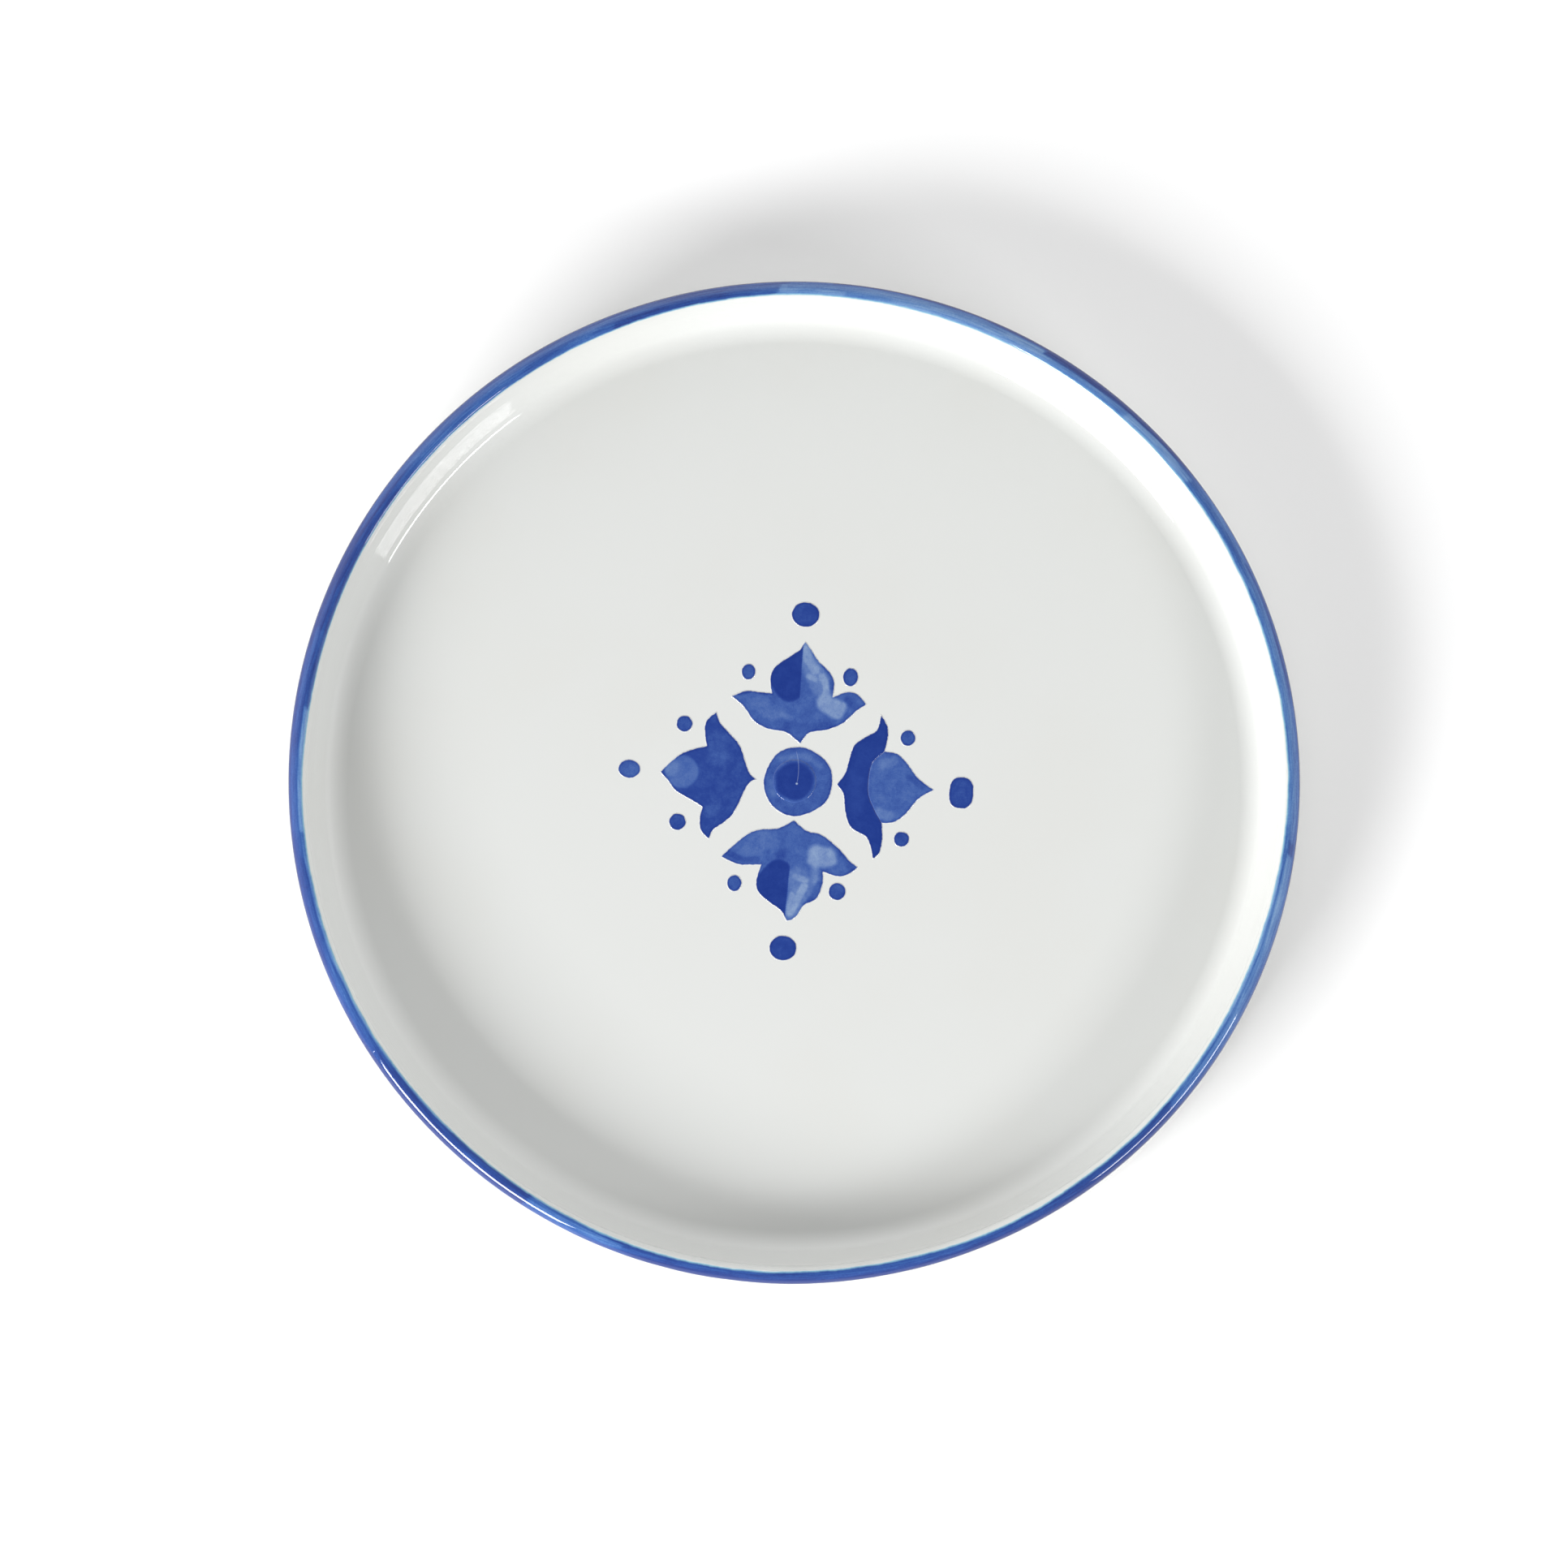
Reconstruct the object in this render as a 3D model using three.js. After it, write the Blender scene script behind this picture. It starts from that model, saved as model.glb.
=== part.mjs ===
// Hand painted ceramic plate: a straight-sided dinner plate on a foot ring, glazed white,
// with a cobalt band over its lip and a cross of four palmettes painted on its flat floor.
// Millimetres, +Z up, origin at the middle of the plane that the foot ring stands on.
import * as THREE from 'three';
import { mergeGeometries } from 'three/addons/utils/BufferGeometryUtils.js';

// Driving dimensions of the glazed plate
const OUTER_RADIUS = 135;
const HEIGHT = 23;
const FLOOR_HEIGHT = 8; // top of the flat floor of the well
const UNDERSIDE_HEIGHT = 3; // underside of the floor, inside and outside the foot ring
const LIP_OUTER_ROUND = 3;
const LIP_INNER_ROUND = 1.6;
const HEEL_ROUND = 6.5; // outer wall into the underside

// Inner face of the wall. Slopes are from the horizontal. Two arcs turn the floor up to the wall's
// slope, the wall is straight for a while, and a last arc turns it up to where the lip takes over.
const FILLET_START = 119.5; // radius at which the floor ends
const FILLET_LOW_RADIUS = 8.7;
const FILLET_LOW_SLOPE = THREE.MathUtils.degToRad(31);
const FILLET_HIGH_RADIUS = 5;
const WALL_SLOPE = THREE.MathUtils.degToRad(60);
const LIP_SLOPE = THREE.MathUtils.degToRad(84);

// Materials laid on each other
const GLAZE = 0.4;
const PAINT = 0.15;

// Foot ring, bare clay up to the glaze line
const FOOT_OUTER_RADIUS = 111;
const FOOT_WIDTH = 7;
const FOOT_CHAMFER = 0.8;
const GLAZE_LINE = 1;
const FOOT_CORNER = 1; // chamfer where the foot ring meets the underside

// Painted band: from this angle round the lip's inner rounding to this height on the outer wall
const BAND_START = THREE.MathUtils.degToRad(119);
const BAND_END_HEIGHT = 19;

// Painted motif
const MOTIF_TURN = THREE.MathUtils.degToRad(-4.1);
const MOTIF_OFFSET = [0.8, 1.1];

const TURNS = 48; // facets round the plate
const OUTLINE_STEP = 1.1; // longest side of a painted outline

const LIP_MIDDLE = OUTER_RADIUS - LIP_OUTER_ROUND; // radius of the lip's crest
const FOOT_INNER_RADIUS = FOOT_OUTER_RADIUS - FOOT_WIDTH;

// Points on an arc in the section plane, from one angle to another, both included
function arc(centre, radius, from, to, steps) {
  return Array.from({ length: steps + 1 }, (_, i) => {
    const angle = from + ((to - from) * i) / steps;
    return [centre[0] + radius * Math.cos(angle), centre[1] + radius * Math.sin(angle)];
  });
}

// The lip's section from the top of the inner wall to the top of the outer wall, grown outwards
function lip(grow) {
  const inner = [LIP_MIDDLE, HEIGHT - LIP_INNER_ROUND];
  const outer = [LIP_MIDDLE, HEIGHT - LIP_OUTER_ROUND];
  return [
    ...arc(inner, LIP_INNER_ROUND + grow, LIP_SLOPE + Math.PI / 2, BAND_START, 3),
    ...arc(inner, LIP_INNER_ROUND + grow, BAND_START, Math.PI / 2, 2).slice(1),
    ...arc(outer, LIP_OUTER_ROUND + grow, Math.PI / 2, 0, 5).slice(1),
  ];
}

// How far an arc that turns up from one slope to another takes the face
function turnedUp(start, radius, slope, reached) {
  return [
    start[0] + radius * (Math.sin(reached) - Math.sin(slope)),
    start[1] + radius * (Math.cos(slope) - Math.cos(reached)),
  ];
}

// The points of that arc
function turnUp(start, radius, slope, reached, grow) {
  const middle = [start[0] - radius * Math.sin(slope), start[1] + radius * Math.cos(slope)];
  return arc(middle, radius - grow, slope - Math.PI / 2, reached - Math.PI / 2, 3);
}

// The inner face from the floor's edge to the lip
function innerWall(grow) {
  const start = [FILLET_START, FLOOR_HEIGHT];
  const low = turnedUp(start, FILLET_LOW_RADIUS, 0, FILLET_LOW_SLOPE);
  const foot = turnedUp(low, FILLET_HIGH_RADIUS, FILLET_LOW_SLOPE, WALL_SLOPE);
  const top = [
    LIP_MIDDLE - LIP_INNER_ROUND * Math.sin(LIP_SLOPE),
    HEIGHT - LIP_INNER_ROUND * (1 - Math.cos(LIP_SLOPE)),
  ];
  // The straight part and the last arc together span the gap from the foot to the top
  const gap = [top[0] - foot[0], top[1] - foot[1]];
  const along = [Math.cos(WALL_SLOPE), Math.sin(WALL_SLOPE)];
  const bend = turnedUp([0, 0], 1, WALL_SLOPE, LIP_SLOPE);
  const cross = (a, b) => a[0] * b[1] - a[1] * b[0];
  const straight = cross(gap, bend) / cross(along, bend);
  const radius = cross(along, gap) / cross(along, bend);
  const bendStart = [foot[0] + straight * along[0], foot[1] + straight * along[1]];
  return [
    ...turnUp(start, FILLET_LOW_RADIUS, 0, FILLET_LOW_SLOPE, grow),
    ...turnUp(low, FILLET_HIGH_RADIUS, FILLET_LOW_SLOPE, WALL_SLOPE, grow).slice(1),
    ...turnUp(bendStart, radius, WALL_SLOPE, LIP_SLOPE, grow).slice(0, -1),
  ];
}

// Upper and outer face of the plate, from the foot ring's glaze line up and over to the axis.
// grow moves it outwards: 0 is the glazed face, and minus GLAZE is the face of the clay.
function upperFace(grow) {
  const heel = [OUTER_RADIUS - HEEL_ROUND, UNDERSIDE_HEIGHT + HEEL_ROUND];
  const footSide = FOOT_OUTER_RADIUS + GLAZE + grow;
  const under = UNDERSIDE_HEIGHT - grow;
  return [
    [footSide, GLAZE_LINE],
    [footSide, under - FOOT_CORNER],
    [footSide + FOOT_CORNER, under],
    ...arc(heel, HEEL_ROUND + grow, -Math.PI / 2, 0, 5),
    [OUTER_RADIUS + grow, BAND_END_HEIGHT],
    ...lip(grow).reverse(),
    ...innerWall(grow).reverse(),
    [0, FLOOR_HEIGHT + grow],
  ];
}

// Underside inside the foot ring, from the axis down to the glaze line
function underFace(grow) {
  const footSide = FOOT_INNER_RADIUS - GLAZE - grow;
  const under = UNDERSIDE_HEIGHT - grow;
  return [
    [0, under],
    [footSide - FOOT_CORNER, under],
    [footSide, under - FOOT_CORNER],
    [footSide, GLAZE_LINE],
  ];
}

// Bare clay of the foot ring between the two glaze lines
function footTip() {
  return [
    [FOOT_INNER_RADIUS, FOOT_CHAMFER],
    [FOOT_INNER_RADIUS + FOOT_CHAMFER, 0],
    [FOOT_OUTER_RADIUS - FOOT_CHAMFER, 0],
    [FOOT_OUTER_RADIUS, FOOT_CHAMFER],
  ];
}

// A face of revolution about +Z; it looks outwards where its points run counter-clockwise
function turned(points) {
  const geometry = new THREE.LatheGeometry(points.map((p) => new THREE.Vector2(...p)), TURNS);
  geometry.rotateX(Math.PI / 2);
  return geometry;
}

// The same face looking the other way, with the same triangles
function flipped(geometry) {
  const index = geometry.index.array;
  for (let i = 0; i < index.length; i += 3) {
    [index[i], index[i + 1]] = [index[i + 1], index[i]];
  }
  return geometry;
}

// A coat between two faces whose points pair up. It closes at each end that is off the axis.
function coat(outer, inner) {
  const faces = [turned(outer), flipped(turned(inner))];
  if (outer[0][0] > 0) faces.push(turned([inner[0], outer[0]]));
  if (outer.at(-1)[0] > 0) faces.push(turned([outer.at(-1), inner.at(-1)]));
  return mergeGeometries(faces);
}

// A smooth stretch of a painted edge through a few points
function stretch(points) {
  const curve = new THREE.SplineCurve(points.map((p) => new THREE.Vector2(...p)));
  return curve.getSpacedPoints(Math.ceil(curve.getLength() / OUTLINE_STEP));
}

// A closed outline from stretches that meet at corners
function outline(stretches) {
  return stretches.flatMap((points) => points.slice(0, -1));
}

// A dot as the brush leaves it: a superellipse, round at power 2 and squarer above
function dot(x, y, halfWidth, halfHeight, power = 2) {
  const sides = 24;
  return Array.from({ length: sides }, (_, i) => {
    const angle = (2 * Math.PI * i) / sides;
    const round = (value) => Math.sign(value) * Math.abs(value) ** (2 / power);
    return new THREE.Vector2(
      x + halfWidth * round(Math.cos(angle)),
      y + halfHeight * round(Math.sin(angle)),
    );
  });
}

// A film of paint with the given outline
function film(points) {
  return new THREE.ExtrudeGeometry(new THREE.Shape(points), { depth: PAINT, bevelEnabled: false });
}

// Outlines of the motif, about its own centre. Corners are where the stretches meet.
function northPalmette() {
  return outline([
    stretch([[-0.5, 37.8], [-1.8, 35.6], [-4, 33.8], [-8, 30.6], [-9.1, 27.4], [-8.4, 23.3]]),
    stretch([[-8.4, 23.3], [-11.8, 23.4], [-15.4, 23.5], [-19.1, 21.8]]),
    stretch([[-19.1, 21.8], [-15.9, 19.5], [-12.7, 15.7], [-8.9, 13.8], [-3.8, 13.1], [0.1, 10.4]]),
    stretch([[0.1, 10.4], [2.3, 13.5], [6.9, 14.6], [11.1, 16.7], [14.5, 20.2], [17, 22.2]]),
    stretch([[17, 22.2], [14.5, 24.6], [11.6, 25.1], [7.9, 23.4]]),
    stretch([[7.9, 23.4], [8, 27.4], [6.5, 30.2], [3.4, 32.9], [0.6, 36.6], [-0.5, 37.8]]),
  ]);
}

function southPalmette() {
  return outline([
    stretch([[-0.1, -10.4], [3.5, -13], [7.5, -13.8], [12, -16.8], [15.5, -20.2], [17.8, -21.8]]),
    stretch([[17.8, -21.8], [16.1, -23.4], [13, -24.6], [8.6, -23.6]]),
    stretch([[8.6, -23.6], [8.7, -27.2], [7.3, -31], [4.2, -33], [2.6, -35.7], [1.1, -37.2]]),
    stretch([[1.1, -37.2], [-0.2, -37.5]]),
    stretch([[-0.2, -37.5], [-1.8, -34.9], [-4.9, -32.9], [-7.9, -30.6], [-9, -27.7], [-8, -22.9]]),
    stretch([[-8, -22.9], [-10.6, -23.1], [-14.2, -23.2], [-18.9, -21.5]]),
    stretch([[-18.9, -21.5], [-12.6, -15.3], [-9.1, -13.6], [-4.1, -12.8], [-0.1, -10.4]]),
  ]);
}

function westPalmette() {
  return outline([
    stretch([[-36.7, 0.1], [-33.5, 3.6], [-30.1, 6.1], [-24.8, 7.9]]),
    stretch([[-24.8, 7.9], [-25.6, 11.9], [-25.3, 14.8], [-22.9, 17.2]]),
    stretch([[-22.9, 17.2], [-21.6, 14.3], [-18.5, 11.3], [-15.8, 8.2], [-13.1, 1.8], [-11, -0.1]]),
    stretch([[-11, -0.1], [-13.2, -1.8], [-16.3, -9.3], [-19, -12.4], [-21.5, -14.4], [-22.5, -16.9]]),
    stretch([[-22.5, -16.9], [-24.8, -14.7], [-25.3, -11.4], [-24.7, -8.5]]),
    stretch([[-24.7, -8.5], [-27.7, -6.9], [-32.2, -4.6], [-34.6, -1.9], [-36.7, 0.1]]),
  ]);
}

// The east palmette is two strokes, a dark crescent and a paler bud, that meet along one seam
const EAST_SEAM = stretch([[22.8, 9.8], [20.2, 7.2], [19.2, 4.1], [19.3, -1.7], [21.2, -6], [23.4, -9.4]]);

function eastCrescent() {
  return outline([
    stretch([[21.2, 19.6], [23, 16.8], [23.4, 13.9], [22.8, 9.8]]),
    EAST_SEAM,
    stretch([[23.4, -9.4], [23.8, -13.7], [23.3, -17.4], [21.8, -19.1]]),
    stretch([[21.8, -19.1], [19.8, -13.7], [15.6, -11.4], [13.7, -7.9], [12.6, -2.2], [10.7, 0.1]]),
    stretch([[10.7, 0.1], [12.9, 3.7], [14.4, 10.4], [17.1, 13.1], [20.4, 15.4], [21.2, 19.6]]),
  ]);
}

function eastBud() {
  return outline([
    [...EAST_SEAM].reverse(),
    stretch([[22.8, 9.8], [26.1, 9.4], [28.7, 7.4], [32.3, 3.3], [36.6, 0.4]]),
    stretch([[36.6, 0.4], [32.7, -2.2], [29.7, -6.4], [26.7, -8.9], [23.4, -9.4]]),
  ]);
}

// A hexagon rounded by the brush, a little flat on its east side
function medallion() {
  const corners = [[8.6, 4.4], [1.4, 9.3], [-5.6, 7.4], [-8.9, -0.4], [-6.4, -6.6], [-0.3, -9.3], [8.2, -4.6]];
  const curve = new THREE.CatmullRomCurve3(corners.map(([x, y]) => new THREE.Vector3(x, y, 0)), true);
  return curve.getSpacedPoints(48).slice(0, -1).map((p) => new THREE.Vector2(p.x, p.y));
}

// Half width and half height of each dot, and where it is from the middle of the motif
const LARGE_DOTS = {
  north: [-0.9, 45.2, 3.7, 3.3],
  east: [44.1, 0.2, 3.2, 4.2, 2.6],
  south: [-0.6, -44.9, 3.6, 3.3],
  west: [-45.1, 0.3, 2.9, 2.4],
};
const SMALL_DOTS = [
  [12.3, 29.2, 2, 2.4],
  [28.8, 13.9, 1.95, 2.1],
  [29, -13.4, 2, 2],
  [12.8, -28.7, 2.25, 2.3],
  [-14.8, -28.4, 1.9, 2.15],
  [-31.2, -13, 2.2, 2.2],
  [-31.2, 13.5, 2.1, 2.15],
  [-15.1, 28.7, 1.8, 2.1],
];

const CLAY = { color: 0xc9b49a, roughness: 0.9 };
const GLAZED = { color: 0xe9eae6, roughness: 0.12 };
const DARK_BLUE = { color: 0x283f8c, roughness: 0.15 };
const MID_BLUE = { color: 0x4763a3, roughness: 0.15 };

function piece(name, geometry, look) {
  const mesh = new THREE.Mesh(geometry, new THREE.MeshStandardMaterial({ metalness: 0, ...look }));
  mesh.name = name;
  return mesh;
}

const plate = new THREE.Group();
const clayUpper = upperFace(-GLAZE);
const clayUnder = underFace(-GLAZE);
plate.add(piece('plate_body', turned([...clayUnder, ...footTip(), ...clayUpper]), CLAY));
plate.add(piece('glaze_coat', coat(upperFace(0), clayUpper), GLAZED));
plate.add(piece('glaze_base', coat(underFace(0), clayUnder), GLAZED));

// The band covers the outer wall down to BAND_END_HEIGHT and the lip up to BAND_START
function bandFace(grow) {
  return [[OUTER_RADIUS + grow, BAND_END_HEIGHT], ...lip(grow).slice(3).reverse()];
}
plate.add(piece('rim_band', coat(bandFace(PAINT), bandFace(0)), MID_BLUE));

const motif = new THREE.Group();
motif.position.set(...MOTIF_OFFSET, FLOOR_HEIGHT);
motif.rotation.z = MOTIF_TURN;
plate.add(motif);

motif.add(piece('medallion', film(medallion()), MID_BLUE));
const core = piece('medallion_core', film(dot(-0.7, 0.2, 5.6, 5.6)), DARK_BLUE);
core.position.z = PAINT; // painted over the medallion
motif.add(core);

motif.add(piece('palmette_north', film(northPalmette()), MID_BLUE));
motif.add(piece('palmette_south', film(southPalmette()), MID_BLUE));
motif.add(piece('palmette_west', film(westPalmette()), MID_BLUE));
motif.add(piece('palmette_east_crescent', film(eastCrescent()), DARK_BLUE));
motif.add(piece('palmette_east_bud', film(eastBud()), MID_BLUE));

for (const [side, sizes] of Object.entries(LARGE_DOTS)) {
  motif.add(piece(`large_dot_${side}`, film(dot(...sizes)), DARK_BLUE));
}
SMALL_DOTS.forEach((sizes, i) => {
  motif.add(piece(`small_dot_${i + 1}`, film(dot(...sizes)), MID_BLUE));
});

export default plate;
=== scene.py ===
"""Looks of the hand painted ceramic plate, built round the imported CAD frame.

Shapes are worked out in millimetres, as numpy arrays, and become metres when a mesh is made.
Angles round the plate are in degrees, counter-clockwise from +X, seen from above.
"""
import math

import bpy
import numpy as np
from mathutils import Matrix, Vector


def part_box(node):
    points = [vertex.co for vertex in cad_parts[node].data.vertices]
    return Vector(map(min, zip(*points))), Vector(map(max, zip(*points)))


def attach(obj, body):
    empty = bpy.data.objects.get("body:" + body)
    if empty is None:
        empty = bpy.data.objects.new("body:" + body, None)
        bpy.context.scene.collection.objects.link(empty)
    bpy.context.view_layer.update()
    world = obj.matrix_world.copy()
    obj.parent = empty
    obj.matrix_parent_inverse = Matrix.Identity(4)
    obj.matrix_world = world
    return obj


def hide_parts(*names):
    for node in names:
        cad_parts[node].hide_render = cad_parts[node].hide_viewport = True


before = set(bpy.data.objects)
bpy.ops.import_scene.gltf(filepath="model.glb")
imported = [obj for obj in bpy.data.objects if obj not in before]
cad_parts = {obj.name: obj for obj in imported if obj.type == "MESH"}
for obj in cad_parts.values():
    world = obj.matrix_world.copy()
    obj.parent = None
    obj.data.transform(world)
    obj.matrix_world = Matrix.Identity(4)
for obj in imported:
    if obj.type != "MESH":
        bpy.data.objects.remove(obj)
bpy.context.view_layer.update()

MM = 0.001


# ---------------------------------------------------------------- sizes, in millimetres


def corners(node):
    low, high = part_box(node)
    return np.array(low) / MM, np.array(high) / MM


COAT_LOW, COAT_HIGH = corners("glaze_coat")
BASE_LOW, BASE_HIGH = corners("glaze_base")
BODY_HIGH = corners("plate_body")[1]

OUTER_RADIUS = COAT_HIGH[0]
HEIGHT = COAT_HIGH[2]
FLOOR_HEIGHT = corners("medallion")[0][2]
GLAZE = OUTER_RADIUS - BODY_HIGH[0]
GLAZE_LINE = COAT_LOW[2]
UNDERSIDE_HEIGHT = BASE_HIGH[2] - GLAZE
FOOT_INNER_RADIUS = BASE_HIGH[0]

# Inner face of the wall. Slopes are from the horizontal. Two arcs turn the floor up to the wall's
# slope, the wall is straight for a while, and a last arc turns it up to where the lip takes over.
FILLET_START = 119.5  # radius at which the floor ends
FILLET_LOW_RADIUS = 8.7
FILLET_LOW_SLOPE = math.radians(31)
FILLET_HIGH_RADIUS = 5
WALL_SLOPE = math.radians(60)
LIP_SLOPE = math.radians(80)
LIP_OUTER_ROUND = 3
LIP_INNER_ROUND = 1.6
HEEL_ROUND = 6.5
FOOT_WIDTH = 7
FOOT_ROUND = 0.8
FOOT_FILLET = 1

LIP_MIDDLE = OUTER_RADIUS - LIP_OUTER_ROUND
FOOT_OUTER_RADIUS = FOOT_INNER_RADIUS + FOOT_WIDTH

RELIEF = 0.03  # height of the paint above the glaze
EDGE_RELIEF = 0.004  # the same at the very edge of a film
BLEED = 0.22  # how far a film runs past its painted edge, fading to the glaze
EDGE_WIDTH = 0.6  # inside its painted edge, where a film reaches its full height
FILM_SPACING = 0.3  # between the points of a film's mesh

# How far the plate is out of true, and the direction in which its rim is widest
OVAL = 0.22
OVAL_ANGLE = 175
RIM_WANDER = 0.08
OUT_OF_LEVEL = 0.16
GLAZE_LINE_WANDER = 0.22

TURNS = 576  # points round the plate
BAND_TURNS = 1152
BAND_ROWS = 30
LIP_STEPS = 12  # over the lip's inner rounding
WALL_STEPS = 12  # of the inner wall under the lip, that the band may run onto


# ---------------------------------------------------------------- small tools


def smoothstep(low, high, x):
    t = np.clip((x - low) / (high - low), 0, 1)
    return t * t * (3 - 2 * t)


def blend(a, b, share):
    return a + (b - a) * share


def angle_noise(angle, seed, slowest, fastest):
    """Smooth noise round the plate, about -1 to 1, from whole numbers of waves."""
    random = np.random.default_rng(seed)
    waves = np.arange(slowest, fastest + 1)
    phases = random.uniform(0, 2 * math.pi, len(waves))
    weights = random.uniform(0.5, 1, len(waves)) / np.sqrt(waves)
    turned = np.radians(angle)[..., None] * waves + phases
    return (np.sin(turned) * weights).sum(-1) / np.sqrt((weights**2).sum())


def smooth_between(before, a, b, after, t):
    """The point at a share t of the way from a to b, on a smooth curve through all four."""
    return 0.5 * (
        2 * a
        + (b - before) * t
        + (2 * before - 5 * a + 4 * b - after) * t**2
        + (3 * a - before - 3 * b + after) * t**3
    )


def round_trip(angle, stops):
    """A value at each angle, smooth through (angle, value) stops and back to the first."""
    angles, values = np.array(sorted(stops), float).T
    angles = np.concatenate([angles[-2:] - 360, angles, angles[:2] + 360])
    values = np.concatenate([values[-2:], values, values[:2]])
    at = np.clip(np.searchsorted(angles, angle, "right") - 1, 1, len(angles) - 3)
    t = (angle - angles[at]) / (angles[at + 1] - angles[at])
    return smooth_between(values[at - 1], values[at], values[at + 1], values[at + 2], t)


def handmade(points):
    """Moves points as the thrown and fired plate is out of true: its rim is a little out of round
    and out of level, and the edge of its glaze wanders on the foot ring."""
    x, y, z = points.T
    radius = np.hypot(x, y)
    angle = np.degrees(np.arctan2(y, x))
    share = (radius / OUTER_RADIUS) ** 4
    oval = OVAL * np.cos(np.radians(2 * (angle - OVAL_ANGLE)))
    oval = oval + RIM_WANDER * angle_noise(angle, 11, 3, 6)
    level = OUT_OF_LEVEL * angle_noise(angle, 12, 2, 5)
    on_foot = smoothstep(GLAZE_LINE - 0.2, GLAZE_LINE, z) * (1 - smoothstep(1.3, 2, z))
    on_foot = on_foot * (radius < OUTER_RADIUS - HEEL_ROUND)
    glaze_line = GLAZE_LINE_WANDER * angle_noise(angle, 13, 5, 40)
    lift = level * share * z / HEIGHT + glaze_line * on_foot
    grow = 1 + oval * share * z / HEIGHT / OUTER_RADIUS
    return np.column_stack([x * grow, y * grow, z + lift])


def make_piece(name, points, faces, node, attributes=None):
    """A mesh object from points in millimetres. It stands for a CAD node, which it hides."""
    mesh = bpy.data.meshes.new(name)
    mesh.from_pydata((points * MM).tolist(), [], faces)
    mesh.polygons.foreach_set("use_smooth", [True] * len(mesh.polygons))
    for key, values in (attributes or {}).items():
        layer = mesh.attributes.new(key, "FLOAT", "POINT")
        layer.data.foreach_set("value", np.asarray(values, np.float32))
    mesh.update()
    piece = bpy.data.objects.new(name, mesh)
    bpy.context.scene.collection.objects.link(piece)
    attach(piece, "root")
    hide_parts(node)
    return piece


# ---------------------------------------------------------------- sections of the plate


def arc(centre, radius, start, stop, steps):
    angles = np.linspace(start, stop, steps + 1)[:, None]
    return np.array(centre) + radius * np.hstack([np.cos(angles), np.sin(angles)])


def line(start, stop, steps):
    return np.linspace(start, stop, steps + 1)


def join(*stretches):
    """One polyline from stretches that each start where the last one ends."""
    return np.vstack([stretches[0]] + [stretch[1:] for stretch in stretches[1:]])


def lip_stretches(grow):
    """The lip from the top of the inner wall, over the crest, to the top of the outer wall."""
    inner = (LIP_MIDDLE, HEIGHT - LIP_INNER_ROUND)
    outer = (LIP_MIDDLE, HEIGHT - LIP_OUTER_ROUND)
    return (
        arc(inner, LIP_INNER_ROUND + grow, LIP_SLOPE + math.pi / 2, math.pi / 2, LIP_STEPS),
        arc(outer, LIP_OUTER_ROUND + grow, math.pi / 2, 0, 16),
    )


def turned_up(start, radius, slope, reached):
    """Where an arc that turns the face up from one slope to another ends."""
    rise = [math.sin(reached) - math.sin(slope), math.cos(slope) - math.cos(reached)]
    return np.array(start) + radius * np.array(rise)


def turn_up(start, radius, slope, reached, grow, steps):
    """The points of that arc."""
    middle = np.array(start) + radius * np.array([-math.sin(slope), math.cos(slope)])
    return arc(middle, radius - grow, slope - math.pi / 2, reached - math.pi / 2, steps)


def inner_wall(grow):
    """The inner face from the floor's edge to the lip."""
    start = (FILLET_START, FLOOR_HEIGHT)
    low = turned_up(start, FILLET_LOW_RADIUS, 0, FILLET_LOW_SLOPE)
    foot = turned_up(low, FILLET_HIGH_RADIUS, FILLET_LOW_SLOPE, WALL_SLOPE)
    top = lip_stretches(0)[0][0]
    # The straight part and the last arc together span the gap from the foot to the top
    along = np.array([math.cos(WALL_SLOPE), math.sin(WALL_SLOPE)])
    bend = turned_up((0, 0), 1, WALL_SLOPE, LIP_SLOPE)
    straight, radius = np.linalg.solve(np.column_stack([along, bend]), top - foot)
    fillet_high = turn_up(low, FILLET_HIGH_RADIUS, FILLET_LOW_SLOPE, WALL_SLOPE, grow, 12)
    last = turn_up(foot + straight * along, radius, WALL_SLOPE, LIP_SLOPE, grow, 10)
    return join(
        turn_up(start, FILLET_LOW_RADIUS, 0, FILLET_LOW_SLOPE, grow, 14),
        fillet_high,
        line(fillet_high[-1], last[0], 10),
        last,
    )


def upper_section(grow):
    """From the axis out over the floor, the wall and the lip, and down to the glaze line."""
    inner_face = inner_wall(grow)
    inner_round, outer_round = lip_stretches(grow)
    heel = arc(
        (OUTER_RADIUS - HEEL_ROUND, UNDERSIDE_HEIGHT + HEEL_ROUND),
        HEEL_ROUND + grow,
        0,
        -math.pi / 2,
        14,
    )
    under = UNDERSIDE_HEIGHT - grow
    foot_side = FOOT_OUTER_RADIUS + GLAZE + grow
    foot_fillet = arc(
        (foot_side + FOOT_FILLET, under - FOOT_FILLET), FOOT_FILLET, math.pi / 2, math.pi, 5
    )
    return join(
        line((0, FLOOR_HEIGHT + grow), inner_face[0], 16),
        inner_face,
        inner_round,
        outer_round,
        line(outer_round[-1], heel[0], 8),
        heel,
        line(heel[-1], foot_fillet[0], 5),
        foot_fillet,
        line(foot_fillet[-1], (foot_side, GLAZE_LINE), 3),
    )


def under_section(grow):
    """From the axis out over the underside and down the foot ring's inner side to the glaze line."""
    under = UNDERSIDE_HEIGHT - grow
    foot_side = FOOT_INNER_RADIUS - GLAZE - grow
    foot_fillet = arc(
        (foot_side - FOOT_FILLET, under - FOOT_FILLET), FOOT_FILLET, math.pi / 2, 0, 5
    )
    return join(
        line((0, under), foot_fillet[0], 14),
        foot_fillet,
        line(foot_fillet[-1], (foot_side, GLAZE_LINE), 3),
    )


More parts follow.
